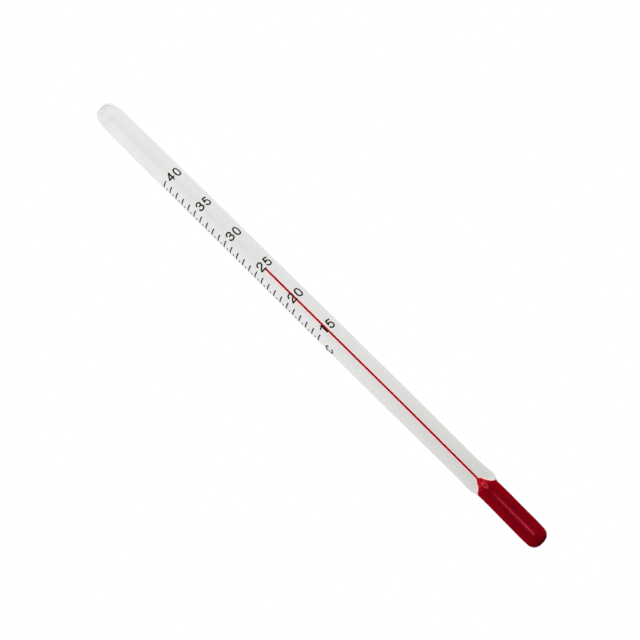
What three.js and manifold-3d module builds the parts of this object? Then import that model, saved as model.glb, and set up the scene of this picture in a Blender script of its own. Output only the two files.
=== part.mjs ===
// A small stick thermometer: a clear glass capillary stem with a flame-rounded top, a thin-walled
// glass bulb at its lower end, red spirit in the bulb, a red thread in the bore, and a scale of
// fired enamel marks round the stem.
// Millimetres, +Z up along the bore. The origin is the lowest point of the bulb, on the bore's
// axis. The numerals face -Y; the graduation marks run round towards -X.

import * as THREE from 'three';
import Module from 'manifold-3d';
import { mergeVertices } from 'three/addons/utils/BufferGeometryUtils.js';
import { TessellateModifier } from 'three/addons/modifiers/TessellateModifier.js';

const wasm = await Module();
wasm.setup();

// ---- driving dimensions ----------------------------------------------------------------------

const LENGTH = 148.8; // bulb tip to the sealed top
const STEM_R = 3.17; // along the scale
const JOINT_Z = 17.14; // where the bulb's tube meets the stem
const JOINT_R = 2.64; // outside radius there
const JOINT_INNER_R = 1.9;
const FUSE_GAP = 0.01; // keeps the stem and the bulb as two pieces
const BORE_R = 0.177;
const BORE_TOP_Z = 144.6; // the melted end closes the bore above this
const NECK_Z = 19.8; // where the bulb's cavity has narrowed to the bore
const BULB_INNER_R = 2.09;
const SHOULDER_Z = 16.3; // where the bulb's cavity starts to narrow

const BULB_SPIRIT_GAP = 0.035; // spirit to the wall of the bulb and funnel
const BULB_SPIRIT_DROP = 0.02; // how far the spirit's funnel sits below the glass one
const THREAD_R = BORE_R - 0.015; // just clear of the bore
const SPIRIT_PIECE_GAP = 0.01; // between one piece of spirit and the next
const MENISCUS_LENGTH = 0.3; // the thread's tip piece

const SCALE_LOW_C = 15;
const SCALE_HIGH_C = 40;
const NUMERAL_STEP_C = 5;
const READING_C = 24.8; // where the thread stands
const SCALE_LOW_Z = 67.94; // height of the lowest mark
const DEGREE = 2.156; // length of one degree

const heightOf = (celsius) => SCALE_LOW_Z + (celsius - SCALE_LOW_C) * DEGREE;
const SCALE_HIGH_Z = heightOf(SCALE_HIGH_C);
const TIP_Z = heightOf(READING_C);

const GLASS_SIDES = 36;
const BULB_SPIRIT_SIDES = 24;
const THREAD_SIDES = 12;

// ---- finishes --------------------------------------------------------------------------------

const glass = new THREE.MeshStandardMaterial({
  color: 0xe4e7e6, roughness: 0.08, metalness: 0, transparent: true, opacity: 0.35,
});
const bulbGlass = new THREE.MeshStandardMaterial({
  color: 0xf0e2e2, roughness: 0.08, metalness: 0, transparent: true, opacity: 0.3,
});
const spirit = new THREE.MeshStandardMaterial({ color: 0x9c0814, roughness: 0.15, metalness: 0 });
const enamel = new THREE.MeshStandardMaterial({ color: 0x1d1613, roughness: 0.5, metalness: 0 });

// ---- helpers ---------------------------------------------------------------------------------

const root = new THREE.Group();
root.name = 'glass_thermometer';

function add(name, geometry, material) {
  const mesh = new THREE.Mesh(geometry, material);
  mesh.name = name;
  root.add(mesh);
}

const radians = (degrees) => degrees * Math.PI / 180;

function signedVolume(geometry) {
  const { position } = geometry.attributes;
  const corners = [new THREE.Vector3(), new THREE.Vector3(), new THREE.Vector3()];
  const [a, b, c] = corners;
  let volume = 0;
  for (let i = 0; i < geometry.index.count; i += 3) {
    corners.forEach((corner, j) => corner.fromBufferAttribute(position, geometry.index.getX(i + j)));
    volume += a.dot(b.cross(c)) / 6;
  }
  return volume;
}

// Welds a geometry into a closed solid whose faces look outwards.
function closed(geometry) {
  geometry.deleteAttribute('normal');
  geometry.deleteAttribute('uv');
  const welded = mergeVertices(geometry, 1e-4);

  // Drop the triangles that collapsed in the weld, such as those on a lathe's axis.
  const triangles = [];
  for (let i = 0; i < welded.index.count; i += 3) {
    const [a, b, c] = [0, 1, 2].map((j) => welded.index.getX(i + j));
    if (a !== b && b !== c && c !== a) triangles.push(a, b, c);
  }
  welded.setIndex(triangles);

  if (signedVolume(welded) < 0) {
    for (let i = 0; i < triangles.length; i += 3) {
      [triangles[i], triangles[i + 1]] = [triangles[i + 1], triangles[i]];
    }
    welded.setIndex(triangles);
  }
  welded.computeVertexNormals();
  return welded;
}

// A solid of revolution about +Z from [radius, z] pairs, with a face, not an edge, towards -Y
// and +Y.
function turned(profile, sides) {
  const points = profile.map(([radius, z]) => new THREE.Vector2(radius, z));
  const geometry = new THREE.LatheGeometry(points, sides, Math.PI / sides);
  geometry.rotateX(Math.PI / 2);
  return closed(geometry);
}

// ---- glass -----------------------------------------------------------------------------------
// All outlines are [radius, z].

// The cavity from the bulb's shoulder up to the bore, in two parts that meet at the joint.
const BULB_FUNNEL = [[BULB_INNER_R, SHOULDER_Z], [2.06, 16.6], [2.0, 16.85]];
const STEM_FUNNEL = [
  [JOINT_INNER_R, JOINT_Z], [1.73, 17.45], [1.6, 17.63], [1.43, 17.85], [1.28, 18.07],
  [1.12, 18.29], [0.98, 18.51], [0.82, 18.75], [0.62, 19.05], [0.4, 19.37],
  [0.25, NECK_Z - 0.2], [BORE_R, NECK_Z + 0.05],
];

// Up the outside from the joint to the tip of the rounded top.
const STEM_OUTSIDE = [
  [JOINT_R, JOINT_Z], [2.78, 17.44], [2.92, 17.84], [3.07, 18.34], [3.14, 18.94], [3.15, 19.54],
  [3.11, 20.3], [3.03, 21.7], [3.02, 24.3], [3.06, 34.3], [3.13, 46.3],
  [STEM_R, 56.3], [STEM_R, 128],
  [3.1, 138.5], [3.07, 143.2], [3.02, 145.2], [2.88, 146.4], [2.62, 147.4], [2.2, 148.12],
  [1.6, 148.55], [0.85, 148.75], [0, LENGTH],
];
const BORE_END = [
  [0, BORE_TOP_Z + 0.15], [BORE_R * 0.7, BORE_TOP_Z + 0.1], [BORE_R, BORE_TOP_Z],
];

// Up the outside from the blown, flattened end to the joint.
const BULB_OUTSIDE = [
  [0, 0], [0.85, 0.05], [1.45, 0.2], [1.93, 0.52], [2.26, 0.98], [2.46, 1.6], [2.56, 2.4],
  [2.63, 4.6], [2.625, 9], [2.615, 13], [2.61, SHOULDER_Z], [JOINT_R, JOINT_Z - FUSE_GAP],
];
// Down the inside from below the shoulder.
const BULB_INSIDE = [
  [BULB_INNER_R, 9], [BULB_INNER_R, 3.0], [2.05, 2.1], [1.9, 1.35], [1.6, 0.82], [1.15, 0.54],
  [0.6, 0.42], [0, 0.38],
];

add('glass_stem', turned([
  STEM_FUNNEL[0],
  ...STEM_OUTSIDE,
  ...BORE_END,
  ...[...STEM_FUNNEL].reverse(),
], GLASS_SIDES), glass);

add('glass_bulb', turned([
  ...BULB_OUTSIDE,
  [JOINT_INNER_R, JOINT_Z - FUSE_GAP],
  ...[...BULB_FUNNEL].reverse(),
  ...BULB_INSIDE,
], GLASS_SIDES), bulbGlass);

// ---- spirit ----------------------------------------------------------------------------------

// The spirit in the bulb, up to the neck of the bore.
const BULB_SPIRIT_R = BULB_INNER_R - BULB_SPIRIT_GAP;
add('bulb_spirit', turned([
  [0, 0.42], [0.59, 0.46], [1.13, 0.585], [1.57, 0.865], [1.865, 1.38], [2.015, 2.11],
  [BULB_SPIRIT_R, 3.0], [BULB_SPIRIT_R, 9],
  ...[...BULB_FUNNEL, ...STEM_FUNNEL.slice(0, -2)]
    .map(([radius, z]) => [radius - BULB_SPIRIT_GAP, z - BULB_SPIRIT_DROP]),
  [0.205, NECK_Z - 0.18], [THREAD_R, NECK_Z], [0, NECK_Z],
], BULB_SPIRIT_SIDES), spirit);

// The thread in the bore, and its cupped tip.
const THREAD_FOOT_Z = NECK_Z + SPIRIT_PIECE_GAP;
const THREAD_TOP_Z = TIP_Z - MENISCUS_LENGTH;
const MENISCUS_FOOT_Z = THREAD_TOP_Z + SPIRIT_PIECE_GAP;
add('spirit_thread', turned([
  [0, THREAD_FOOT_Z], [THREAD_R, THREAD_FOOT_Z], [THREAD_R, THREAD_TOP_Z], [0, THREAD_TOP_Z],
], THREAD_SIDES), spirit);
add('thread_meniscus', turned([
  [0, MENISCUS_FOOT_Z], [THREAD_R, MENISCUS_FOOT_Z], [THREAD_R, TIP_Z],
  [THREAD_R * 0.9, TIP_Z - 0.02], [THREAD_R * 0.62, TIP_Z - 0.06], [0, TIP_Z - 0.085],
], THREAD_SIDES), spirit);

// ---- enamel: building flat marks and bending them --------------------------------------------
// A flat mark is drawn in s and z: s runs round the stem from -Y, negative towards -X, and z runs
// up. Its third coordinate is the height above the enamel's underside.

const INK_GAP = 0.012; // enamel above the glass
const INK = 0.033; // enamel thickness
const STROKE = 0.38; // stroke width of a numeral
const CAP_ANGLE = radians(62); // where the rounded end of a strip is cut off
const MAX_EDGE = 0.5; // edges longer than this are split before bending
const MAX_SPLITS = 12;

// The print runs a hair askew: sideways shift at the lowest mark and at the highest.
const DRIFT_LOW = -0.16;
const DRIFT_HIGH = 0.06;

// A strip along a path of [s, z] points, with rounded ends.
function strip(path, width = STROKE) {
  const last = path.length - 1;
  // One cross-section; an end angle slides it out along the cap and narrows it.
  const sectionAt = (i, endAngle = 0) => {
    const before = path[Math.max(0, i - 1)];
    const after = path[Math.min(last, i + 1)];
    const span = Math.hypot(after[0] - before[0], after[1] - before[1]);
    const alongS = (after[0] - before[0]) / span;
    const alongZ = (after[1] - before[1]) / span;
    return {
      s: path[i][0] + alongS * (width / 2) * Math.sin(endAngle),
      z: path[i][1] + alongZ * (width / 2) * Math.sin(endAngle),
      alongS,
      alongZ,
      halfWidth: (width / 2) * Math.cos(endAngle),
    };
  };
  const sections = [
    sectionAt(0, -CAP_ANGLE), ...path.map((_, i) => sectionAt(i)), sectionAt(last, CAP_ANGLE),
  ];

  const steps = sections.length - 1;
  const geometry = new THREE.BoxGeometry(1, 1, 1, steps, 1, 1);
  const { position } = geometry.attributes;
  for (let i = 0; i < position.count; i++) {
    const section = sections[Math.round((position.getX(i) + 0.5) * steps)];
    const across = Math.sign(position.getZ(i)) * section.halfWidth;
    position.setXYZ(
      i,
      section.s + section.alongZ * across,
      section.z - section.alongS * across,
      position.getY(i) > 0 ? INK : 0,
    );
  }
  return closed(geometry);
}

// A closed loop whose centre line is a superellipse; power 2 is a plain ellipse.
function loop({ radiusS, radiusZ, power, width, sides }) {
  const section = [[1, 0], [2, 0], [2, 1], [1, 1], [1, 0]].map(([x, y]) => new THREE.Vector2(x, y));
  const geometry = new THREE.LatheGeometry(section, sides);
  const { position } = geometry.attributes;
  const bulge = (value) => Math.sign(value) * Math.abs(value) ** (2 / power);
  const pointAt = (angle) => [radiusS * bulge(Math.cos(angle)), radiusZ * bulge(Math.sin(angle))];
  for (let i = 0; i < position.count; i++) {
    const angle = Math.atan2(position.getZ(i), position.getX(i));
    const isOuter = Math.hypot(position.getX(i), position.getZ(i)) > 1.5;
    const offset = isOuter ? width / 2 : -width / 2;
    const [s, z] = pointAt(angle);
    const [nextS, nextZ] = pointAt(angle + 0.02);
    const [lastS, lastZ] = pointAt(angle - 0.02);
    const span = Math.hypot(nextS - lastS, nextZ - lastZ);
    position.setXYZ(
      i,
      s + ((nextZ - lastZ) / span) * offset,
      z - ((nextS - lastS) / span) * offset,
      position.getY(i) > 0.5 ? INK : 0,
    );
  }
  return closed(geometry);
}

function join(...strokes) {
  const { vertProperties, triVerts } = strokes
    .map((stroke) => new wasm.Manifold(new wasm.Mesh({
      numProp: 3,
      vertProperties: new Float32Array(stroke.attributes.position.array),
      triVerts: new Uint32Array(stroke.index.array),
    })))
    .reduce((whole, solid) => whole.add(solid))
    .getMesh();
  const geometry = new THREE.BufferGeometry();
  const vertices = new Float32Array(vertProperties);
  geometry.setAttribute('position', new THREE.BufferAttribute(vertices, 3));
  geometry.setIndex(Array.from(triVerts));
  return geometry;
}

// Bends a flat mark round the stem, with its middle at middleS and middleZ.
function bend(flat, middleS, middleZ) {
  const geometry = new TessellateModifier(MAX_EDGE, MAX_SPLITS).modify(flat.toNonIndexed());
  const { position } = geometry.attributes;
  const drift = DRIFT_LOW
    + ((DRIFT_HIGH - DRIFT_LOW) * (middleZ - SCALE_LOW_Z)) / (SCALE_HIGH_Z - SCALE_LOW_Z);
  for (let i = 0; i < position.count; i++) {
    const angle = (position.getX(i) + middleS + drift) / STEM_R;
    const radius = STEM_R + INK_GAP + position.getZ(i);
    const z = position.getY(i) + middleZ;
    position.setXYZ(i, radius * Math.sin(angle), -radius * Math.cos(angle), z);
  }
  return closed(geometry);
}

// ---- enamel: paths and digits ----------------------------------------------------------------

// Part of an ellipse about the origin: angles in degrees, anticlockwise from +s.
const arc = (radiusS, radiusZ, from, to, steps) => Array.from({ length: steps + 1 }, (_, i) => {
  const angle = radians(from + ((to - from) * i) / steps);
  return [radiusS * Math.cos(angle), radiusZ * Math.sin(angle)];
});

function line(s0, z0, s1, z1) {
  const steps = Math.max(2, Math.ceil(Math.hypot(s1 - s0, z1 - z0) / 0.45));
  return Array.from({ length: steps + 1 }, (_, i) => [
    s0 + ((s1 - s0) * i) / steps,
    z0 + ((z1 - z0) * i) / steps,
  ]);
}

function smooth(points, steps) {
  const controls = points.map(([s, z]) => new THREE.Vector3(s, z, 0));
  const curve = new THREE.CatmullRomCurve3(controls, false, 'centripetal');
  return curve.getSpacedPoints(steps).map(({ x, y }) => [x, y]);
}

// Plain rounded digits about their own middles; the points are [s, z] on the centre lines.
const TOP = 1.06; // centre line of the topmost stroke; the lowest is as far below the middle
const DIGITS = {
  0: () => loop({ radiusS: 0.63, radiusZ: TOP, power: 2.35, width: STROKE, sides: 24 }),
  1: () => join(
    strip(line(0.2, -TOP, 0.2, TOP)),
    strip(smooth([[-0.5, 0.58], [-0.18, 0.7], [0.04, 0.88], [0.2, TOP]], 4), STROKE * 0.92),
  ),
  2: () => join(
    strip(smooth([
      [-0.6, 0.42], [-0.52, 0.78], [-0.28, 1.0], [0.03, TOP], [0.36, 0.97], [0.57, 0.7],
      [0.56, 0.38], [0.34, 0.04], [0.0, -0.28], [-0.36, -0.6], [-0.62, -1.02],
    ], 15)),
    strip(line(-0.6, -TOP, 0.64, -TOP)),
  ),
  3: () => join(
    strip(smooth([
      [-0.57, 0.55], [-0.48, 0.85], [-0.2, 1.04], [0.05, TOP], [0.38, 0.94], [0.52, 0.64],
      [0.42, 0.3], [0.12, 0.1], [-0.14, 0.08],
    ], 11)),
    strip(smooth([
      [-0.14, 0.08], [0.16, 0.08], [0.5, -0.1], [0.63, -0.46], [0.5, -0.84], [0.2, -1.03],
      [-0.06, -TOP], [-0.36, -0.98], [-0.57, -0.76], [-0.63, -0.52],
    ], 12)),
  ),
  4: () => join(
    strip(line(0.3, -TOP, 0.3, 1.04)),
    strip(line(0.3, 1.04, -0.66, -0.42), STROKE * 0.95),
    strip(line(-0.64, -0.46, 0.68, -0.46)),
  ),
  5: () => join(
    strip(line(-0.4, TOP, 0.55, TOP)),
    strip(line(-0.4, 1.04, -0.52, 0.0)),
    strip(smooth([
      [-0.52, 0.02], [-0.3, 0.24], [0.02, 0.33], [0.36, 0.22], [0.6, -0.08], [0.62, -0.46],
      [0.46, -0.84], [0.14, -1.04], [-0.14, -1.05], [-0.42, -0.93], [-0.6, -0.64],
    ], 14)),
  ),
};

// ---- enamel: the scale -----------------------------------------------------------------------

const MARK_WIDTH = 0.34;
const MARK_STEPS = 7;
const MARK_START_S = radians(-69) * STEM_R; // the end further round towards -X
const MARK_END_S = radians(-30.5) * STEM_R;

const FIRST_DIGIT_S = -0.25;
const SECOND_DIGIT_S = 1.76;
// The numerals were printed a hair closer together than the marks: how far the lowest and the
// highest numeral stand above their marks.
const NUMERAL_LIFT_LOW = 0.12;
const NUMERAL_LIFT_HIGH = -0.26;

const UNIT_Z = 64.25; // middle of the unit letter
const LETTER_C_S = -3.1;
const DEGREE_SIGN_S = -4.35;
const DEGREE_SIGN_LIFT = 0.84; // above the letter's middle

function graduation() {
  const length = MARK_END_S - MARK_START_S - MARK_WIDTH;
  return strip(Array.from({ length: MARK_STEPS + 1 }, (_, i) => [
    MARK_START_S + MARK_WIDTH / 2 + (length * i) / MARK_STEPS,
    0,
  ]), MARK_WIDTH);
}

for (let c = SCALE_LOW_C; c <= SCALE_HIGH_C; c++) {
  add(`mark_${c}c`, bend(graduation(), 0, heightOf(c)), enamel);
}

for (let c = SCALE_LOW_C; c <= SCALE_HIGH_C; c += NUMERAL_STEP_C) {
  const [first, second] = String(c);
  const along = (c - SCALE_LOW_C) / (SCALE_HIGH_C - SCALE_LOW_C);
  const z = heightOf(c) + NUMERAL_LIFT_LOW + (NUMERAL_LIFT_HIGH - NUMERAL_LIFT_LOW) * along;
  add(`numeral_${c}_first_${first}`, bend(DIGITS[first](), FIRST_DIGIT_S, z), enamel);
  add(`numeral_${c}_second_${second}`, bend(DIGITS[second](), SECOND_DIGIT_S, z), enamel);
}

const degreeSign = loop({ radiusS: 0.2, radiusZ: 0.2, power: 2, width: 0.22, sides: 14 });
add('unit_degree_sign', bend(degreeSign, DEGREE_SIGN_S, UNIT_Z + DEGREE_SIGN_LIFT), enamel);
const letterC = strip(arc(0.66, TOP, 36, 324, 14));
add('unit_letter_c', bend(letterC, LETTER_C_S, UNIT_Z), enamel);

export default root;
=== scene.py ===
"""A spirit-in-glass thermometer, standing upright along Z on its bulb.

The bulb is at z = 0 and the sealed top of the stem is uppermost. The camera is on the -Y side.
Lengths are in millimetres up to the point where a mesh or node takes them, and angles are from +X
unless said otherwise. The floor, lights and camera are placed in metres where noted.
"""
import math

import bpy
import bmesh
import numpy as np
from mathutils import Matrix, Vector, noise


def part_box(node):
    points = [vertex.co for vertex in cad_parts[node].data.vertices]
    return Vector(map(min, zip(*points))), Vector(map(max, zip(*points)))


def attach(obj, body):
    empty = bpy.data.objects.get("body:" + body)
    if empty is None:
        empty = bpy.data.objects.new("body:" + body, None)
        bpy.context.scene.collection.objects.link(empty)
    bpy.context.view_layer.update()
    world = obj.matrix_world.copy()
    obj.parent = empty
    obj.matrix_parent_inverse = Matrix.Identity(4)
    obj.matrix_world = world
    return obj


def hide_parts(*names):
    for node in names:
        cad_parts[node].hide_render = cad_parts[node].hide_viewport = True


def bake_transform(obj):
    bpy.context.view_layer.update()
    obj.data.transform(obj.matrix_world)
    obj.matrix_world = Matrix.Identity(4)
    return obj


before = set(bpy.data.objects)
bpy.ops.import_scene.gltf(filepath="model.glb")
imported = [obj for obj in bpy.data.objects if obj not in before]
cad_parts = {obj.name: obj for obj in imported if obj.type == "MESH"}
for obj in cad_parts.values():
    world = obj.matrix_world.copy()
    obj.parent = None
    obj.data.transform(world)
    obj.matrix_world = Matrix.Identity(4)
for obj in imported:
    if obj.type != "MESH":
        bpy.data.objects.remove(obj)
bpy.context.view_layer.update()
MM = 0.001

# ---- places and sizes, mm ------------------------------------------------------------------------


def top_of(piece):
    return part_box(piece)[1].z / MM


def mark_height(degrees):
    low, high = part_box(f"mark_{degrees}c")
    return (low.z + high.z) / 2 / MM


TOP = top_of("glass_stem")
NECK = top_of("bulb_spirit")      # where the pool of spirit ends and the thread begins
TIP = top_of("thread_meniscus")
LOW_MARK, HIGH_MARK = mark_height(15), mark_height(40)
DEGREES = 40 - 15
DEGREE = (HIGH_MARK - LOW_MARK) / DEGREES

SEAM = 16.5          # the bulb's thin wall ends here, and the stem's melted foot begins
JOINT_R = 2.61       # outside of the glass at the seam
MOUTH_R = 2.54       # inside of the glass at the seam
SEAM_GAP = 0.01
BULB_TOP = SEAM - SEAM_GAP
WALL = 0.036         # thickness of the bulb's wall
WET = 0.006          # overlap of liquid and glass, so that no film of air shows between them
STEM_R = 3.17
BORE_R = 0.177
THREAD_R = BORE_R + WET
BORE_TOP = 144.6
SHOULDER_TOP = 144.6
GLASS_SIDES = 128
POOL_SIDES = 96
THREAD_SIDES = 32

GLASS_IOR = 1.5
SPIRIT_IOR = 1.36

# ---- outlines: (radius, z) -----------------------------------------------------------------------

STEM_OUTLINE = [
    (JOINT_R, 16.0), (JOINT_R, 16.6), (2.625, 16.9), (2.67, 17.08), (2.74, 17.28), (2.80, 17.42),
    (2.89, 17.66), (2.98, 17.92), (3.07, 18.22), (3.13, 18.7), (3.14, 19.3), (3.11, 20.2),
    (3.04, 21.8), (3.01, 24.3), (3.03, 28.3), (3.07, 36.3), (3.13, 46.3), (3.16, 55.3),
    (3.165, 64), (3.165, 128), (3.13, 134.5), (3.095, 138.5), (3.08, 142.6), (3.05, 144.4),
    (3.04, SHOULDER_TOP),
]
DOME = [
    (3.04, SHOULDER_TOP), (2.99, 145.6), (2.86, 146.55), (2.6, 147.45), (2.2, 148.1),
    (1.6, 148.47), (0.85, 148.63), (0.0, TOP - 0.12),
]
FUNNEL = [  # the cavity above the bulb, narrowing to the bore
    (MOUTH_R, SEAM), (2.39, 16.65), (2.17, 16.85), (2.02, 17.02), (1.92, 17.17), (1.82, 17.3),
    (1.73, 17.45), (1.63, 17.63), (1.51, 17.85), (1.37, 18.07), (1.21, 18.29), (1.05, 18.51),
    (0.88, 18.73), (0.75, 18.95), (0.59, 19.17), (0.40, 19.42), (0.25, 19.55), (BORE_R, 19.72),
]
BULB_END = [
    (0, 0.07), (0.75, 0.1), (1.32, 0.23), (1.8, 0.5), (2.16, 0.9), (2.4, 1.33), (2.53, 1.8),
    (2.585, 2.6), (2.615, 3.5), (2.635, 4.8),
]
BULB_SIDE = [
    (2.635, 4.8), (2.63, 7.5), (2.625, 10.5), (2.62, 13), (2.615, 15.2), (JOINT_R, 16.2),
    (JOINT_R, SEAM),
]
BORE_CAP = [(0.0, BORE_TOP + 0.15), (0.07, BORE_TOP + 0.13), (0.135, BORE_TOP + 0.07)]
MENISCUS = [  # share of the thread's radius, depth below the tip
    (1.0, 0.0), (0.9, 0.035), (0.7, 0.075), (0.4, 0.105), (0.0, 0.115),
]

# ---- curves --------------------------------------------------------------------------------------


def radius_curve(points):
    """A function of z giving the radius, by monotone cubic through (radius, z) points."""
    z = np.array([point[1] for point in points], float)
    r = np.array([point[0] for point in points], float)
    step = np.diff(z)
    rise = np.diff(r) / step
    before, after = rise[:-1], rise[1:]
    slope = np.zeros(len(z))
    slope[1:-1] = np.where(before * after > 0, 2 * before * after / (before + after + 1e-30), 0)
    slope[0], slope[-1] = rise[0], rise[-1]

    def radius(height):
        height = min(max(height, z[0]), z[-1])
        i = min(int(np.searchsorted(z, height, side="right")) - 1, len(step) - 1)
        t = (height - z[i]) / step[i]
        return float(
            (2 * t**3 - 3 * t**2 + 1) * r[i]
            + (t**3 - 2 * t**2 + t) * step[i] * slope[i]
            + (-2 * t**3 + 3 * t**2) * r[i + 1]
            + (t**3 - t**2) * step[i] * slope[i + 1]
        )

    return radius


def smooth(t):
    t = min(max(t, 0.0), 1.0)
    return t * t * (3 - 2 * t)


def bell(z, centre, width):
    return math.exp(-(((z - centre) / width) ** 2))


def spaced(start, end, step):
    count = max(1, int(math.ceil(abs(end - start) / step)))
    return [start + (end - start) * i / count for i in range(count + 1)]


def between(a, b, start, end, t):
    return a * ((end - t) / (end - start)) + b * ((t - start) / (end - start))


def rounded(points, step):
    """(radius, z) points about step apart on a centripetal Catmull-Rom curve through points."""
    corners = [Vector(point) for point in points]
    first = corners[0] + (corners[0] - corners[1])
    last = corners[-1] + (corners[-1] - corners[-2])
    padded = [first, *corners, last]
    curve = []
    for four in zip(padded, padded[1:], padded[2:], padded[3:]):
        knots = [0.0]
        for a, b in zip(four, four[1:]):
            knots.append(knots[-1] + max((b - a).length, 1e-6) ** 0.5)
        count = max(1, int(math.ceil((four[2] - four[1]).length / step)))
        for k in range(count):
            t = knots[1] + (knots[2] - knots[1]) * k / count
            lines = [between(four[j], four[j + 1], knots[j], knots[j + 1], t) for j in range(3)]
            bends = [between(lines[j], lines[j + 1], knots[j], knots[j + 2], t) for j in range(2)]
            curve.append(between(bends[0], bends[1], knots[1], knots[2], t))
    curve.append(corners[-1])
    return [(max(0.0, point.x), point.y) for point in curve]


def inset(points, depth):
    """A turned outline moved inwards by depth; its first point stays on the axis."""
    moved = []
    for i, (r, z) in enumerate(points):
        before, after = points[max(0, i - 1)], points[min(len(points) - 1, i + 1)]
        along_r, along_z = after[0] - before[0], after[1] - before[1]
        length = math.hypot(along_r, along_z)
        moved.append((max(0.0, r - depth * along_z / length), z + depth * along_r / length))
    moved[0] = (0.0, points[0][1] + depth)
    return moved


stem_radius = radius_curve(STEM_OUTLINE)
bulb_radius = radius_curve(BULB_SIDE)
bulb_end = rounded(BULB_END, 0.16)


def bulb_cavity(depth, top):
    """From the joint down round the inside of the bulb, depth inside the outer skin."""
    skin = bulb_end + [(bulb_radius(z), z) for z in spaced(5.2, 16.1, 0.5)]
    mouth = [(MOUTH_R + WALL - depth, top), (2.565 + WALL - depth, 16.3)]
    return mouth + inset(skin, depth)[::-1]


# ---- unevenness of the hand-worked glass ---------------------------------------------------------


def lean(z):
    """The bulb was fused on a hair out of line: offset of the axis along X."""
    near_joint = 0.03 * smooth((z - 9) / 4) * (1 - smooth((z - 16) / 3))
    return near_joint - 0.115 * (1 - smooth(z / 15.0))


def cavity_point(r, z, angle):
    """A point on the cavity or the spirit; the cone's foot sits a little towards -X."""
    bore_shift = 0.085 * smooth((z - 19) / 26.0)
    cone_skew = -0.14 * bell(z, 17.5, 0.8)
    return (r * math.cos(angle) + bore_shift + lean(z) + cone_skew, r * math.sin(angle), z)


def outer_point(r, z, angle):
    """A point on the outer skin, slightly wavy, more so where it was worked in the flame."""
    c, s = math.cos(angle), math.sin(angle)
    if 16.2 < z < 21.5:
        # the melted foot comes down lower on the bulging +X side
        droop = 0.3 * c * smooth((z - 16.2) / 0.6) * (1 - smooth((z - 19) / 2.5))
        r = stem_radius(z + droop)
    wave = 0.010 * noise.noise(Vector((c * 0.8, s * 0.8, z * 0.045)) + Vector((3.1, 0, 0)))
    if r > 1.0:
        worked = smooth((z - 138) / 8) + 0.5 * smooth((26 - z) / 5) * smooth((z - 17) / 2)
        wave += 0.02 * worked * noise.noise(Vector((c * 1.3, s * 1.3, z * 0.35)))
        sealed = smooth((z - 144.2) / 2.0)
        wave += 0.012 * sealed * noise.noise(Vector((c * 2.4 + 5.0, s * 2.4, z * 0.9)))
        # the +X side of the joint bulges where the glass was worked soft
        wave += 0.16 * bell(z, 18.6, 1.15) * (c * 0.9 + 0.12)
    swell = (r + wave) / r if r > 1e-6 else 1.0
    return (r * c * swell + lean(z), r * s * swell, z)


# ---- mesh helpers --------------------------------------------------------------------------------

INNER_TAGS = ("bore", "bore_end", "capillary")


def tagged(points, tag):
    return [(r, z, tag) for r, z in points]


def mesh_object(name, bm):
    mesh = bpy.data.meshes.new(name)
    bm.to_mesh(mesh)
    bm.free()
    made = bpy.data.objects.new(name, mesh)
    bpy.context.scene.collection.objects.link(made)
    return made


def revolve(name, rings, sides, materials, face_slots):
    """A closed skin from rings of (radius, z, tag); a ring of radius 0 is one point.

    The first and last rings are joined unless they are points. Each face has the tag of the ring
    it starts from, and face_slots gives the material slot of a tag where it isn't the first.
    """
    bm = bmesh.new()
    rows = []
    for r, z, tag in rings:
        place = cavity_point if tag in INNER_TAGS else outer_point
        turns = [(0.0, 0.0)] if r < 1e-6 else [(r, 2 * math.pi * k / sides) for k in range(sides)]
        rows.append([bm.verts.new(Vector(place(radius, z, a)) * MM) for radius, a in turns])
    bands = list(zip(rows, rows[1:], [ring[2] for ring in rings]))
    if len(rows[0]) > 1 and len(rows[-1]) > 1:
        bands.append((rows[-1], rows[0], rings[-1][2]))
    tags = []
    for a, b, tag in bands:
        if len(a) == 1 and len(b) == 1:
            continue
        for k in range(sides):
            n = (k + 1) % sides
            if len(a) == 1:
                bm.faces.new((a[0], b[n], b[k]))
            elif len(b) == 1:
                bm.faces.new((a[k], a[n], b[0]))
            else:
                bm.faces.new((a[k], a[n], b[n], b[k]))
            tags.append(tag)
    bm.normal_update()
    if bm.calc_volume(signed=True) < 0:
        bmesh.ops.reverse_faces(bm, faces=bm.faces)
    made = mesh_object(name, bm)
    for surface in materials:
        made.data.materials.append(surface)
    for face, tag in zip(made.data.polygons, tags):
        face.use_smooth = True
        if tag in face_slots:
            face.material_index = face_slots[tag]
    made.data.set_sharp_from_angle(angle=math.radians(50))
    return made


# ---- node helpers --------------------------------------------------------------------------------
# A colour may be given as one number, which is a grey.


def rgba(colour):
    return (*colour, 1.0) if isinstance(colour, tuple) else (colour, colour, colour, 1.0)


def node(nt, kind, inputs=None, **settings):
    """A new node; inputs maps socket names or numbers to a value or to the socket that feeds it."""
    made = nt.nodes.new(kind)
    for name, value in settings.items():
        setattr(made, name, value)
    for key, value in (inputs or {}).items():
        socket = made.inputs[key]
        if isinstance(value, bpy.types.NodeSocket):
            nt.links.new(value, socket)
        else:
            socket.default_value = rgba(value) if socket.type == "RGBA" else value
    return made


def math_node(nt, operation, a, b):
    return node(nt, "ShaderNodeMath", {0: a, 1: b}, operation=operation).outputs[0]


def object_place(nt):
    return node(nt, "ShaderNodeTexCoord").outputs["Object"]


def axis(nt, vector, letter):
    return node(nt, "ShaderNodeSeparateXYZ", {0: vector}).outputs[letter]


def grain(nt, scale, detail, stretch=(1, 1, 1)):
    """Noise in the object's own space; a small stretch value draws it out along that axis."""
    texture = node(nt, "ShaderNodeTexNoise", {"Scale": scale, "Detail": detail})
    mapping = node(nt, "ShaderNodeMapping", {"Vector": object_place(nt), "Scale": stretch})
    nt.links.new(mapping.outputs["Vector"], texture.inputs["Vector"])
    return texture.outputs["Fac"]


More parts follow.
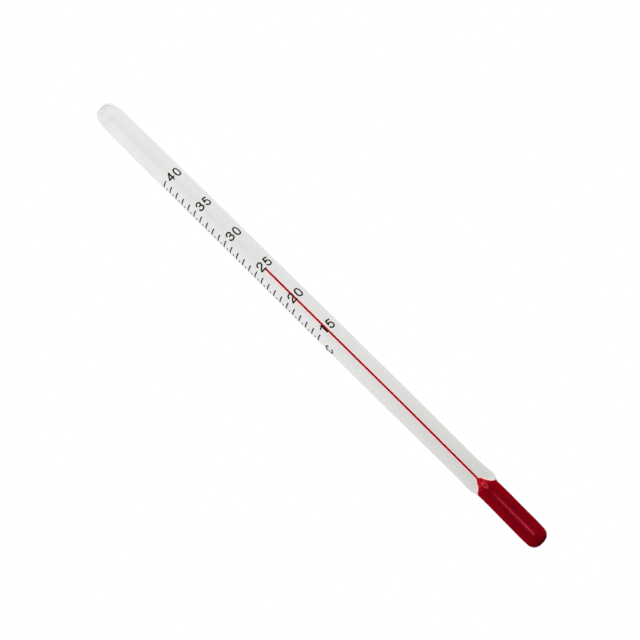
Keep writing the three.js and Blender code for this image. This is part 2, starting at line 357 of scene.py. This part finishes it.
def ramp(nt, fac, stops, interpolation="LINEAR"):
    """A colour ramp from (position, colour) stops."""
    made = node(nt, "ShaderNodeValToRGB", {"Fac": fac})
    made.color_ramp.interpolation = interpolation
    elements = made.color_ramp.elements
    while len(elements) < len(stops):
        elements.new(0.5)
    for element, (position, colour) in zip(elements, stops):
        element.position = position
        element.color = rgba(colour)
    return made.outputs["Color"]


def map_range(nt, value, low=0.0, high=1.0, to_low=0.0, to_high=1.0):
    return node(nt, "ShaderNodeMapRange", {
        "Value": value, "From Min": low, "From Max": high, "To Min": to_low, "To Max": to_high,
    }).outputs["Result"]


def height(nt, low, high):
    """0 at z low to 1 at z high, in mm."""
    return map_range(nt, axis(nt, object_place(nt), "Z"), low=low * MM, high=high * MM)


def height_ramp(nt, top, stops):
    """A colour ramp up from z = 0 to top, with stops of (z, colour), z in mm."""
    return ramp(nt, height(nt, 0.0, top), [(z / top, colour) for z, colour in stops])


def mix(nt, fac, a, b, blend="MIX"):
    made = node(nt, "ShaderNodeMix", {0: fac, 6: a, 7: b}, data_type="RGBA", blend_type=blend)
    return made.outputs[2]


def multiply(nt, a, b):
    return mix(nt, 1.0, a, b, "MULTIPLY")


def add(nt, a, b):
    return mix(nt, 1.0, a, b, "ADD")


def facing(nt):
    """0 where the skin faces the viewer, 1 at its outline."""
    return node(nt, "ShaderNodeLayerWeight", {"Blend": 0.5}).outputs["Facing"]


def backfacing(nt):
    return node(nt, "ShaderNodeNewGeometry").outputs["Backfacing"]


def shader(nt, kind, inputs):
    return node(nt, kind, inputs).outputs[0]


def mix_shaders(nt, share, first, second):
    return shader(nt, "ShaderNodeMixShader", {0: share, 1: first, 2: second})


def transparent(nt, colour):
    return shader(nt, "ShaderNodeBsdfTransparent", {"Color": colour})


def material(name, build, **options):
    """A material whose surface is the shader that build(node tree, **options) gives."""
    made = bpy.data.materials.new(name)
    made.use_nodes = True
    nt = made.node_tree
    nt.nodes.clear()
    node(nt, "ShaderNodeOutputMaterial", {"Surface": build(nt, **options)})
    return made


# ---- materials -----------------------------------------------------------------------------------


def drawn_glass(nt):
    """The stem: faint lines along the tube, a slightly uneven gloss and a cool grey body."""
    tone = ramp(nt, height(nt, 15, 149), [
        (0.0, (0.74, 0.735, 0.715)), (0.07, (0.775, 0.772, 0.754)), (0.22, (0.84, 0.838, 0.822)),
        (0.4, (0.89, 0.89, 0.877)), (1.0, (0.965, 0.965, 0.955)),
    ])
    lines = grain(nt, scale=900.0, detail=3.0, stretch=(1, 1, 0.02))
    streak = ramp(nt, lines, [(0.3, (0.965, 0.965, 0.96)), (0.7, 1.0)])
    patchy = grain(nt, scale=300.0, detail=4.0, stretch=(1, 1, 0.3))
    polished = shader(nt, "ShaderNodeBsdfPrincipled", {
        "IOR": GLASS_IOR,
        "Transmission Weight": 1.0,
        "Base Color": multiply(nt, tone, streak),
        "Roughness": map_range(nt, patchy, to_low=0.0, to_high=0.008),
    })

    # the flame-sealed top is clouded, and part of the light goes straight through
    cloud = grain(nt, scale=520.0, detail=0.5, stretch=(1, 1, 0.8))
    cloudy = transparent(nt, ramp(nt, cloud, [
        (0.36, (0.86, 0.86, 0.865)), (0.5, 0.92), (0.64, (0.99, 0.99, 0.98)),
    ]))
    cloudy_share = ramp(nt, height(nt, 144, 149), [
        (0.0, 0.0), (0.45, 0.45), (0.8, 0.75), (1.0, 0.85),
    ])

    # over the red cone the foot of the stem bends the light but mirrors nothing
    plain = shader(nt, "ShaderNodeBsdfRefraction", {
        "IOR": GLASS_IOR, "Roughness": 0.0, "Color": (0.93, 0.93, 0.92),
    })
    foot = ramp(nt, height(nt, SEAM, SEAM + 1.6), [(0.0, 1.0), (0.45, 1.0), (1.0, 0.0)])
    foot = mix(nt, backfacing(nt), foot, 0.0)
    bent = mix_shaders(nt, foot, polished, plain)

    # light that is piped up the stem from its foot is let out after a few bounces
    ray_depth = node(nt, "ShaderNodeLightPath").outputs["Ray Depth"]
    let_out = math_node(nt, "GREATER_THAN", ray_depth, 4.5)
    body = mix_shaders(nt, let_out, bent, transparent(nt, 0.32))
    return mix_shaders(nt, cloudy_share, body, cloudy)


def blown_glass(nt):
    """The bulb: a wall so thin that it bends nothing, clear, with a soft gloss masked into a
    painted highlight streak.
    """
    mottle = grain(nt, scale=500.0, detail=2.0)
    clear = transparent(nt, ramp(nt, mottle, [(0.3, 0.96), (0.7, 0.99)]))
    gloss = shader(nt, "ShaderNodeBsdfPrincipled", {
        "IOR": GLASS_IOR,
        "Base Color": 0.9,
        "Metallic": 1.0,
        "Roughness": map_range(nt, mottle, to_low=0.16, to_high=0.22),
    })
    # painted highlight: the gloss is masked to the middle of the near side and faded towards both
    # ends, so the lamp's reflection shows only as this streak
    share = ramp(nt, facing(nt), [(0.0, 0.042), (0.09, 0.04), (0.19, 0.0), (1.0, 0.0)])
    share = mix(nt, backfacing(nt), share, 0.0)
    painted_streak_span = height_ramp(nt, 16, [(1.5, 0.15), (2.4, 1.0), (9.0, 1.0), (13.3, 0.85), (15.2, 0.0)])
    return mix_shaders(nt, multiply(nt, share, painted_streak_span), clear, gloss)


def fused_joint(nt):
    """The two faces of the joint: the glass is continuous there, so nothing is seen."""
    return shader(nt, "ShaderNodeBsdfTransparent", {})


def bore_wall(nt):
    """The wall of the capillary, seen faintly."""
    mottle = grain(nt, scale=400.0, detail=2.0, stretch=(1, 1, 0.1))
    return transparent(nt, ramp(nt, mottle, [(0.3, 0.985), (0.7, 0.998)]))


def painted_cone_ring(nt):
    """A painted ring of highlight on the -Y side, where the cone of spirit gathers the light; it is
    added to the spirit's glow.
    """
    centre_x, centre_z = 0.06, 17.4
    half_width, half_height = 0.44, 1.32
    place = object_place(nt)
    shape = node(nt, "ShaderNodeMapping", {
        "Vector": place,
        "Location": (-centre_x / half_width, 0.0, -centre_z / half_height),
        "Scale": (1000 / half_width, 0.0, 1000 / half_height),
    })
    distance = node(nt, "ShaderNodeVectorMath", operation="LENGTH")
    nt.links.new(shape.outputs["Vector"], distance.inputs[0])
    ring = ramp(nt, distance.outputs["Value"], [
        (0.0, 0.0), (0.38, 0.0), (0.7, (0.28, 0.045, 0.055)), (1.0, 0.0),
    ])
    front = math_node(nt, "LESS_THAN", axis(nt, place, "Y"), 0.0)
    return mix(nt, front, 0.0, ring)


def dyed_spirit(nt, bright_edges):
    """Dyed spirit, so strong that it looks solid.

    It has a painted glow inside the stem: emission that stands for the light coming from behind
    through the thin cone and thread. The thread's edges get a painted bright rim, for the light
    from behind that the capillary's wall turns there.
    """
    ramp_top = 24.0
    # spirit as met from inside the glass, above the seam
    ior = map_range(nt, height(nt, SEAM + 0.3, SEAM + 1.2),
                    to_low=1.001, to_high=SPIRIT_IOR / GLASS_IOR)
    # painted shade: the base colour darkens towards the bottom tip of the bulb
    body = height_ramp(nt, ramp_top, [
        (0.0, (0.19, 0.0008, 0.005)), (1.6, (0.25, 0.001, 0.007)), (5, (0.245, 0.001, 0.008)),
        (12, (0.25, 0.001, 0.008)), (SEAM, (0.27, 0.0012, 0.008)),
        (ramp_top, (0.27, 0.0012, 0.008)),
    ])
    cloud = ramp(nt, grain(nt, scale=350.0, detail=3.0, stretch=(1, 1, 0.5)),
                 [(0.3, 0.88), (0.7, 1.06)])
    limb = facing(nt)
    # painted light: the spirit is lighter towards its outline than in the middle
    painted_limb_light = ramp(nt, limb, [
        (0.0, 0.9), (0.35, 1.0), (0.6, (1.16, 1.16, 1.3)), (1.0, (1.05, 1.4, 1.4)),
    ])
    in_stem = height(nt, SEAM - 0.1, SEAM - 0.01)  # 0 in the bulb, 1 in the stem
    # a little more light falls on the +X side
    lit_side = map_range(nt, axis(nt, object_place(nt), "X"), low=-0.0005, high=0.0018)
    body = multiply(nt, body, mix(nt, lit_side, 1.0, (1.16, 1.1, 1.1)))
    body = multiply(nt, multiply(nt, body, cloud), painted_limb_light)

    # painted glow: emission that stands in for light from behind, strongest in the cone; in the
    # stem it replaces most of the base colour
    painted_glow = height_ramp(nt, ramp_top, [
        (0.0, (0.19, 0.0008, 0.006)), (SEAM, (0.195, 0.0008, 0.006)),
        (16.75, (0.25, 0.001, 0.006)), (17.2, (0.275, 0.001, 0.006)),
        (17.9, (0.33, 0.001, 0.007)), (18.7, (0.49, 0.001, 0.008)),
        (19.4, (0.44, 0.001, 0.010)), (20.3, (0.31, 0.003, 0.014)),
        (ramp_top, (0.30, 0.004, 0.016)),
    ])
    painted_glow = add(nt, mix(nt, in_stem, 0.0, painted_glow), painted_cone_ring(nt))
    if bright_edges:
        # painted highlight: emission that brightens the thread's outline
        painted_rim_light = ramp(nt, limb, [
            (0.0, 0.0), (0.38, 0.0), (0.52, (0.09, 0.001, 0.001)), (0.68, (0.45, 0.02, 0.015)),
            (0.85, (1.0, 0.12, 0.1)), (1.0, (1.0, 0.2, 0.16)),
        ])
        dimming, rim_gain = 0.9, 4.0
        painted_glow = add(nt, multiply(nt, painted_glow, dimming), multiply(nt, painted_rim_light, rim_gain))
    return shader(nt, "ShaderNodeBsdfPrincipled", {
        "Roughness": 0.08,
        "IOR": ior,
        "Base Color": mix(nt, in_stem, body, (0.06, 0.0005, 0.002)),
        "Emission Color": painted_glow,
        "Emission Strength": 1.0,
    })


def fired_enamel(nt):
    """Dark brown enamel with a fine, slightly rough grain."""
    speckle = grain(nt, scale=2500.0, detail=3.0)
    relief = math_node(nt, "MULTIPLY", grain(nt, scale=2500.0, detail=2.0), 1.0)
    bump = node(nt, "ShaderNodeBump", {"Strength": 0.3, "Distance": 0.00001, "Height": relief})
    return shader(nt, "ShaderNodeBsdfPrincipled", {
        "Base Color": ramp(nt, speckle, [
            (0.35, (0.016, 0.006, 0.001)), (0.75, (0.034, 0.014, 0.003)),
        ]),
        "Specular IOR Level": 0.25,
        "Roughness": map_range(nt, speckle, to_low=0.4, to_high=0.6),
        "Normal": bump.outputs["Normal"],
    })


def pale_floor(nt):
    """White from above and clear from below, as the camera looks up through it."""
    white = shader(nt, "ShaderNodeBsdfDiffuse", {"Color": (0.86, 0.86, 0.855)})
    clear = shader(nt, "ShaderNodeBsdfTransparent", {})
    return mix_shaders(nt, backfacing(nt), white, clear)


stem_glass = material("drawn_glass", drawn_glass)
bulb_glass = material("blown_glass", blown_glass)
fused = material("fused_joint", fused_joint)
bore_glass = material("bore_wall", bore_wall)
pool_red = material("dyed_spirit", dyed_spirit, bright_edges=False)
thread_red = material("dyed_spirit_thread", dyed_spirit, bright_edges=True)
enamel = material("fired_enamel", fired_enamel)

# ---- glass and spirit ----------------------------------------------------------------------------


def make_stem():
    """The stem's glass: up the outside, over the dome, then down the bore and the funnel."""
    rings = []
    for start, end, step in [(SEAM, 17.8, 0.05), (17.93, 22, 0.14), (22.8, SHOULDER_TOP, 1.2)]:
        rings += [(stem_radius(z), z, "wall") for z in spaced(start, end, step)]
    rings += tagged(rounded(DOME, 0.16)[1:], "wall")
    rings += tagged(BORE_CAP, "capillary")
    rings += [(BORE_R, z, "capillary") for z in spaced(BORE_TOP, 19.85, 1.2)]
    funnel = rounded(FUNNEL[::-1], 0.12)
    rings += tagged(funnel[:-1], "bore") + tagged(funnel[-1:], "bore_end")
    stem = revolve("glass_stem_clear", rings, GLASS_SIDES, [stem_glass, fused, bore_glass],
                   face_slots={"bore_end": 1, "capillary": 2})
    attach(stem, "glass")
    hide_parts("glass_stem")


def make_bulb():
    """The bulb's thin glass: up the outside to the seam, then down the inside."""
    side = [(bulb_radius(z), z) for z in spaced(5.2, BULB_TOP, 0.25)]
    rings = tagged(bulb_end + side[:-1], "wall") + tagged(side[-1:], "seam")
    rings += tagged(bulb_cavity(WALL, BULB_TOP), "bore")
    bulb = revolve("glass_bulb_clear", rings, GLASS_SIDES, [bulb_glass, fused],
                   face_slots={"seam": 1})
    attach(bulb, "glass")
    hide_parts("glass_bulb")
    return bulb


def make_pool():
    """The spirit that fills the bulb and the cone above it."""
    outline = bulb_cavity(WALL - WET, SEAM)[::-1]
    outline += [(r + WET, z) for r, z in rounded(FUNNEL, 0.12)[1:] if z <= NECK]
    outline += [(THREAD_R, NECK), (0.0, NECK)]
    pool = revolve("bulb_spirit_dyed", tagged(outline, "bore"), POOL_SIDES, [pool_red], {})
    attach(pool, "glass")
    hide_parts("bulb_spirit")
    return pool


def make_thread():
    """The thread of spirit in the bore, hollowed at its tip."""
    foot = NECK + 0.002
    outline = [(0.0, foot), (THREAD_R, foot)]
    outline += [(THREAD_R, z) for z in spaced(NECK + 0.8, TIP - 0.02, 0.8)]
    outline += [(THREAD_R * share, TIP - depth) for share, depth in MENISCUS]
    thread = revolve("spirit_thread_dyed", tagged(outline, "bore"), THREAD_SIDES, [thread_red], {})
    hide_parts("spirit_thread", "thread_meniscus")
    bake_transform(thread)


# ---- enamel marks --------------------------------------------------------------------------------


def paint_marks():
    for name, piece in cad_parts.items():
        if name.startswith(("mark_", "numeral_", "unit_")):
            piece.data.materials.clear()
            piece.data.materials.append(enamel)


def add_arc_mark(bm, z, start, end, width, r_in, r_out, steps):
    """A round-ended bar round the stem, between angles in degrees from -Y, negative towards -X."""
    half = width / 2
    cap = math.degrees(half / r_in)
    start, end = start + cap, end - cap
    columns = [(start - 0.88 * cap, 0.47), (start - 0.5 * cap, 0.87)]  # angle, share of width
    columns += [(start + (end - start) * k / steps, 1.0) for k in range(steps + 1)]
    columns += [(end + 0.5 * cap, 0.87), (end + 0.88 * cap, 0.47)]
    section = [  # radius, side in z, share of the half width
        (r_in, -half, 1.0), (r_out - 0.008, -half, 0.94), (r_out, -half, 0.6),
        (r_out, half, 0.6), (r_out - 0.008, half, 0.94), (r_in, half, 1.0),
    ]
    rows = []
    for angle, share in columns:
        t = math.radians(angle)
        rows.append([
            bm.verts.new(Vector((r * math.sin(t), -r * math.cos(t), z + side * share * k)) * MM)
            for r, side, k in section
        ])
    for a, b in zip(rows, rows[1:]):
        for k in range(6):
            n = (k + 1) % 6
            bm.faces.new((a[k], a[n], b[n], b[k]))
    bm.faces.new(rows[0][::-1])
    bm.faces.new(rows[-1])


def make_half_degree_marks():
    """Short bars midway between the degree marks; the row drifts slowly round the stem."""
    bm = bmesh.new()
    for index in range(DEGREES):
        z = LOW_MARK + (index + 0.5) * DEGREE
        drift_length = -0.16 + 0.22 * (z - LOW_MARK) / (HIGH_MARK - LOW_MARK)
        drift = math.degrees(drift_length / STEM_R)
        add_arc_mark(bm, z, start=-69 + drift, end=-57 + drift, width=0.31,
                     r_in=STEM_R + 0.012, r_out=STEM_R + 0.045, steps=4)
    bmesh.ops.recalc_face_normals(bm, faces=bm.faces)
    marks = mesh_object("half_degree_marks", bm)
    marks.data.materials.append(enamel)
    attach(marks, "glass")


# ---- floor, world and lights, in metres ----------------------------------------------------------


def make_floor():
    bm = bmesh.new()
    bmesh.ops.create_grid(bm, x_segments=1, y_segments=1, size=3.0)
    ground = mesh_object("floor", bm)
    ground.location = (0, 0, -0.0003)
    ground.data.materials.append(material("pale_floor", pale_floor))
    ground.visible_glossy = False


def make_world():
    """White to the camera; to other rays a soft room, dark on the camera's side for mirroring."""
    world = bpy.data.worlds.new("studio")
    bpy.context.scene.world = world
    world.use_nodes = True
    # an even room needs no aimed rays, and they would not know what is seen from outside
    world.cycles.sampling_method = "NONE"
    nt = world.node_tree
    nt.nodes.clear()
    seen = shader(nt, "ShaderNodeBackground", {"Strength": 1.0, "Color": 1.0})

    # the room's brightness varies gently all round
    place = node(nt, "ShaderNodeTexCoord").outputs["Generated"]
    direction = node(nt, "ShaderNodeSeparateXYZ", {0: place}).outputs
    angle = math_node(nt, "ARCTAN2", direction["X"], direction["Y"])
    level = 0.90
    turn_shares = [  # share of the turn, share of the level
        (0.0, 0.96), (0.12, 1.02), (0.30, 0.93), (0.42, 1.0), (0.5, 0.97),
        (0.58, 1.03), (0.7, 0.95), (0.86, 0.9), (1.0, 0.96),
    ]
    band = ramp(nt, map_range(nt, angle, low=-math.pi, high=math.pi),
                [(turn, level * share) for turn, share in turn_shares], "EASE")
    room = shader(nt, "ShaderNodeBackground", {"Strength": 1.0, "Color": band})

    # in mirrored light the +Y side is lit and the camera's side is dark
    lit_side = map_range(nt, direction["Y"], low=-0.25, high=0.35)
    dark = shader(nt, "ShaderNodeBackground", {"Strength": 0.012})
    mirror = mix_shaders(nt, lit_side, dark, room)

    # light that is turned back inside the glass still sees the room
    path = node(nt, "ShaderNodeLightPath").outputs
    outside = math_node(nt, "LESS_THAN", path["Transmission Depth"], 0.5)
    mirrored = math_node(nt, "MULTIPLY", path["Is Glossy Ray"], outside)
    soft = mix_shaders(nt, mirrored, room, mirror)
    surface = mix_shaders(nt, path["Is Camera Ray"], soft, seen)
    node(nt, "ShaderNodeOutputWorld", {"Surface": surface})


def softbox(name, at, towards, width, depth, watts):
    light = bpy.data.lights.new(name, "AREA")
    light.shape = "RECTANGLE"
    light.size, light.size_y = width, depth
    light.energy = watts
    made = bpy.data.objects.new(name, light)
    made.location = at
    made.rotation_mode = "QUATERNION"
    made.rotation_quaternion = (Vector(towards) - Vector(at)).to_track_quat("-Z", "Y")
    bpy.context.scene.collection.objects.link(made)
    return made


def make_lights(strip_lit):
    """A pink strip that lights only the objects in strip_lit, and a soft key light."""
    strip = softbox("strip_light", at=(0.07, -1.15, 0.15), towards=(0, 0, 0.008),
                    width=0.34, depth=0.24, watts=2.25)
    strip.data.color = (1.0, 0.08, 0.18)
    strip.visible_transmission = False
    strip.visible_diffuse = False
    receivers = bpy.data.collections.new("lit_by_the_strip")
    for piece in strip_lit:
        receivers.objects.link(piece)
    strip.light_linking.receiver_collection = receivers

    key = softbox("key_light", at=(-0.9, -0.8, 0.9), towards=(0, 0, 0.0688),
                  width=0.8, depth=0.8, watts=2.0)
    key.visible_transmission = False
    key.visible_glossy = False


# ---- camera --------------------------------------------------------------------------------------


def make_camera():
    """The stem runs from upper left to lower right, seen from below, bulb end nearest."""
    target = Vector((0, 0, 69.16)) * MM
    distance = 400.0 * MM
    elevation = math.radians(-19.0)
    roll = math.radians(45.43)

    forward = Vector((0, math.cos(elevation), -math.sin(elevation)))
    level_right = Vector((1, 0, 0))
    level_up = Vector((0, math.sin(elevation), math.cos(elevation)))
    right = level_right * math.cos(roll) - level_up * math.sin(roll)
    up = level_right * math.sin(roll) + level_up * math.cos(roll)

    data = bpy.data.cameras.new("camera")
    camera = bpy.data.objects.new("camera", data)
    bpy.context.scene.collection.objects.link(camera)
    camera.location = target - forward * distance
    camera.rotation_mode = "QUATERNION"
    camera.rotation_quaternion = Matrix((right, up, -forward)).transposed().to_quaternion()
    data.sensor_width = 36.0
    data.lens = 99.45
    data.shift_x = -0.00765625
    data.shift_y = 0.0125
    data.clip_start, data.clip_end = 0.01, 50.0
    bpy.context.scene.camera = camera


# ---- build ---------------------------------------------------------------------------------------

make_stem()
bulb = make_bulb()
pool = make_pool()
make_thread()
paint_marks()
make_half_degree_marks()
make_floor()
make_world()
make_lights(strip_lit=(bulb, pool))
make_camera()

view = bpy.context.scene.view_settings
view.view_transform = "Standard"
view.look = "None"
